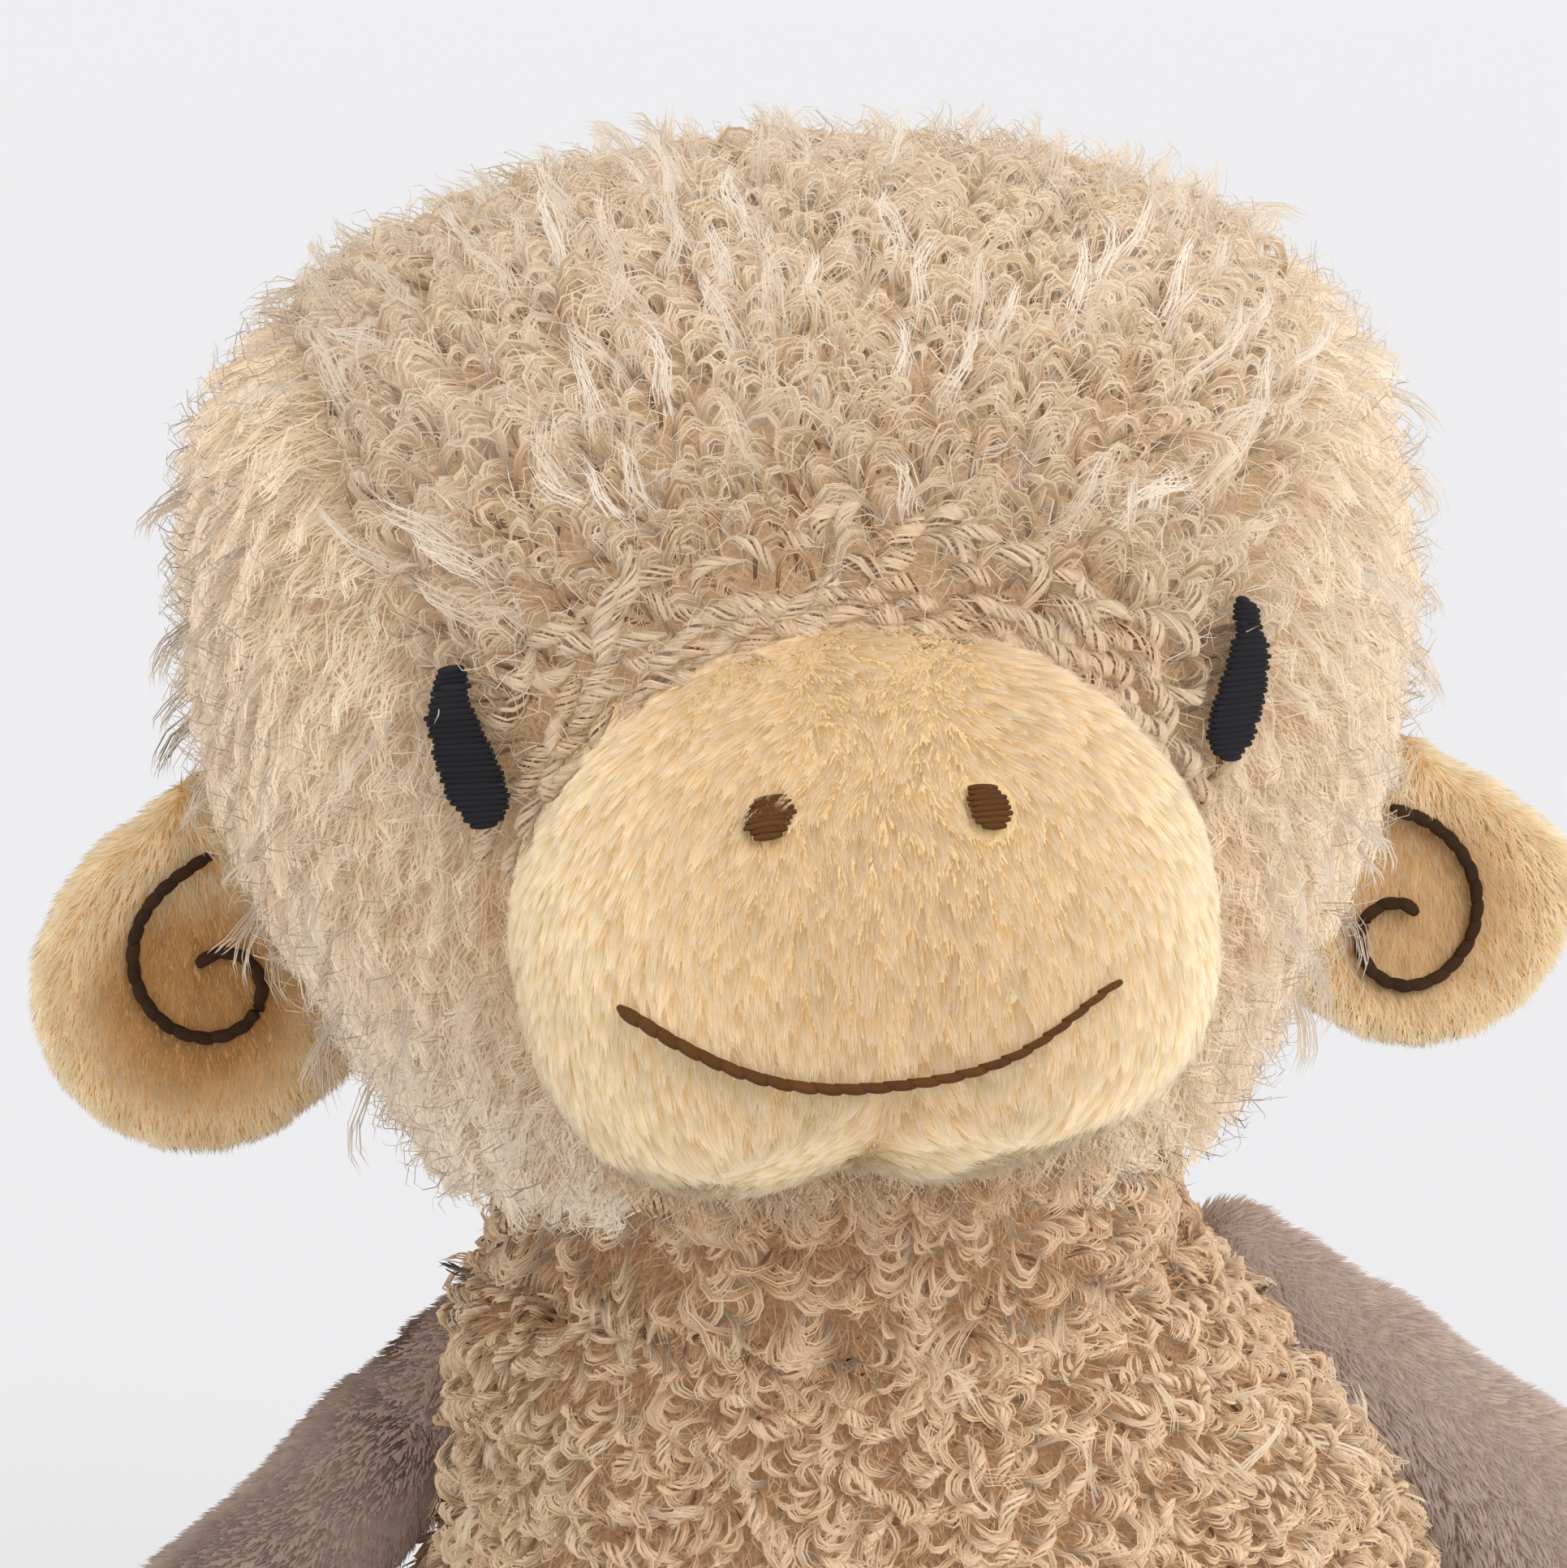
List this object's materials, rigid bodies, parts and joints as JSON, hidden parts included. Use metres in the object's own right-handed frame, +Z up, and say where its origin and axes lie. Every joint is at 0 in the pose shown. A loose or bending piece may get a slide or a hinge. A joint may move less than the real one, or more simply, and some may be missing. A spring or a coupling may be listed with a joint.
{
  "type": "plush monkey",
  "caption": "Sitting soft monkey toy with a curly head and torso, a broad yellow muzzle, round ears with stitched spirals, plush limbs and a curled tail.",
  "frame": {"origin": "middle of the flat seat that the toy sits on", "axes": "+Z up from the seat to the crown, the toy faces -Y, and its left side is +X"},
  "size_m": [0.2618, 0.288, 0.213],
  "materials": {
    "curly_pile": "long curly pile",
    "yellow_plush": "short dense plush",
    "taupe_plush": "short dense plush",
    "stuffing": "loose polyester fibre",
    "bean_bag": "thin woven bag of plastic pellets",
    "dark_thread": "satin stitch",
    "brown_thread": "satin and stem stitch"
  },
  "bodies": {
    "torso": {"torso_seat_panel": "curly_pile", "torso_front_panel": "curly_pile", "torso_back_panel": "curly_pile", "torso_filling": "stuffing", "seat_bean_bag": "bean_bag"},
    "neck": {"neck_filling": "stuffing"},
    "head": {"head_left_panel": "curly_pile", "head_right_panel": "curly_pile", "head_crown_panel": "curly_pile", "head_chin_panel": "curly_pile", "muzzle_cover": "yellow_plush", "head_filling": "stuffing", "left_eye": "dark_thread", "right_eye": "dark_thread", "left_nostril": "brown_thread", "right_nostril": "brown_thread", "mouth_stitching": "brown_thread"},
    "left_ear": {"left_ear_front": "yellow_plush", "left_ear_back": "yellow_plush", "left_ear_filling": "stuffing", "left_ear_spiral": "brown_thread"},
    "left_shoulder": {"left_shoulder_tab": "taupe_plush"},
    "left_arm": {"left_arm_cover": "taupe_plush", "left_hand_cover": "yellow_plush", "left_arm_filling": "stuffing"},
    "left_leg": {"left_leg_cover": "taupe_plush", "left_foot_cover": "yellow_plush", "left_leg_filling": "stuffing"},
    "right_ear": {"right_ear_front": "yellow_plush", "right_ear_back": "yellow_plush", "right_ear_filling": "stuffing", "right_ear_spiral": "brown_thread"},
    "right_shoulder": {"right_shoulder_tab": "taupe_plush"},
    "right_arm": {"right_arm_cover": "taupe_plush", "right_hand_cover": "yellow_plush", "right_arm_filling": "stuffing"},
    "right_leg": {"right_leg_cover": "taupe_plush", "right_foot_cover": "yellow_plush", "right_leg_filling": "stuffing"},
    "tail": {"tail_cover": "taupe_plush", "tail_filling": "stuffing"}
  },
  "joints": [
    {"name": "neck_turn", "type": "hinge", "parent": "torso", "child": "neck", "pos_m": [0, 0, 0.112], "axis": [0, 0, 1], "range_deg": [-25, 25], "stiffness_Nm_per_rad": 0.2},
    {"name": "neck_nod", "type": "hinge", "parent": "neck", "child": "head", "pos_m": [0, 0, 0.112], "axis": [1, 0, 0], "range_deg": [-12, 12], "stiffness_Nm_per_rad": 0.5},
    {"name": "left_ear_fold", "type": "hinge", "parent": "head", "child": "left_ear", "pos_m": [0.05565, 0.00315, 0.13688], "axis": [0.4516, 0.0166, 0.8921], "range_deg": [-22, 22], "stiffness_Nm_per_rad": 0.03},
    {"name": "right_ear_fold", "type": "hinge", "parent": "head", "child": "right_ear", "pos_m": [-0.05565, 0.00315, 0.13688], "axis": [0.4516, -0.0166, -0.8921], "range_deg": [-22, 22], "stiffness_Nm_per_rad": 0.03},
    {"name": "left_shoulder_sweep", "type": "hinge", "parent": "torso", "child": "left_shoulder", "pos_m": [0.05226, 0.00705, 0.087], "axis": [0, 0, -1], "range_deg": [-25, 20], "stiffness_Nm_per_rad": 0.08},
    {"name": "right_shoulder_sweep", "type": "hinge", "parent": "torso", "child": "right_shoulder", "pos_m": [-0.05226, 0.00705, 0.087], "axis": [0, 0, 1], "range_deg": [-25, 20], "stiffness_Nm_per_rad": 0.08},
    {"name": "left_shoulder_lift", "type": "hinge", "parent": "left_shoulder", "child": "left_arm", "pos_m": [0.05226, 0.00705, 0.087], "axis": [0, -1, 0], "range_deg": [0, 50]},
    {"name": "right_shoulder_lift", "type": "hinge", "parent": "right_shoulder", "child": "right_arm", "pos_m": [-0.05226, 0.00705, 0.087], "axis": [0, 1, 0], "range_deg": [0, 50]},
    {"name": "left_hip_lift", "type": "hinge", "parent": "torso", "child": "left_leg", "pos_m": [0.03084, -0.04462, 0.018], "axis": [-1, 0, 0], "range_deg": [0, 40]},
    {"name": "right_hip_lift", "type": "hinge", "parent": "torso", "child": "right_leg", "pos_m": [-0.03084, -0.04462, 0.018], "axis": [-1, 0, 0], "range_deg": [0, 40]},
    {"name": "tail_lift", "type": "hinge", "parent": "torso", "child": "tail", "pos_m": [0, 0.04823, 0.015], "axis": [1, 0, 0], "range_deg": [0, 60]}
  ]
}
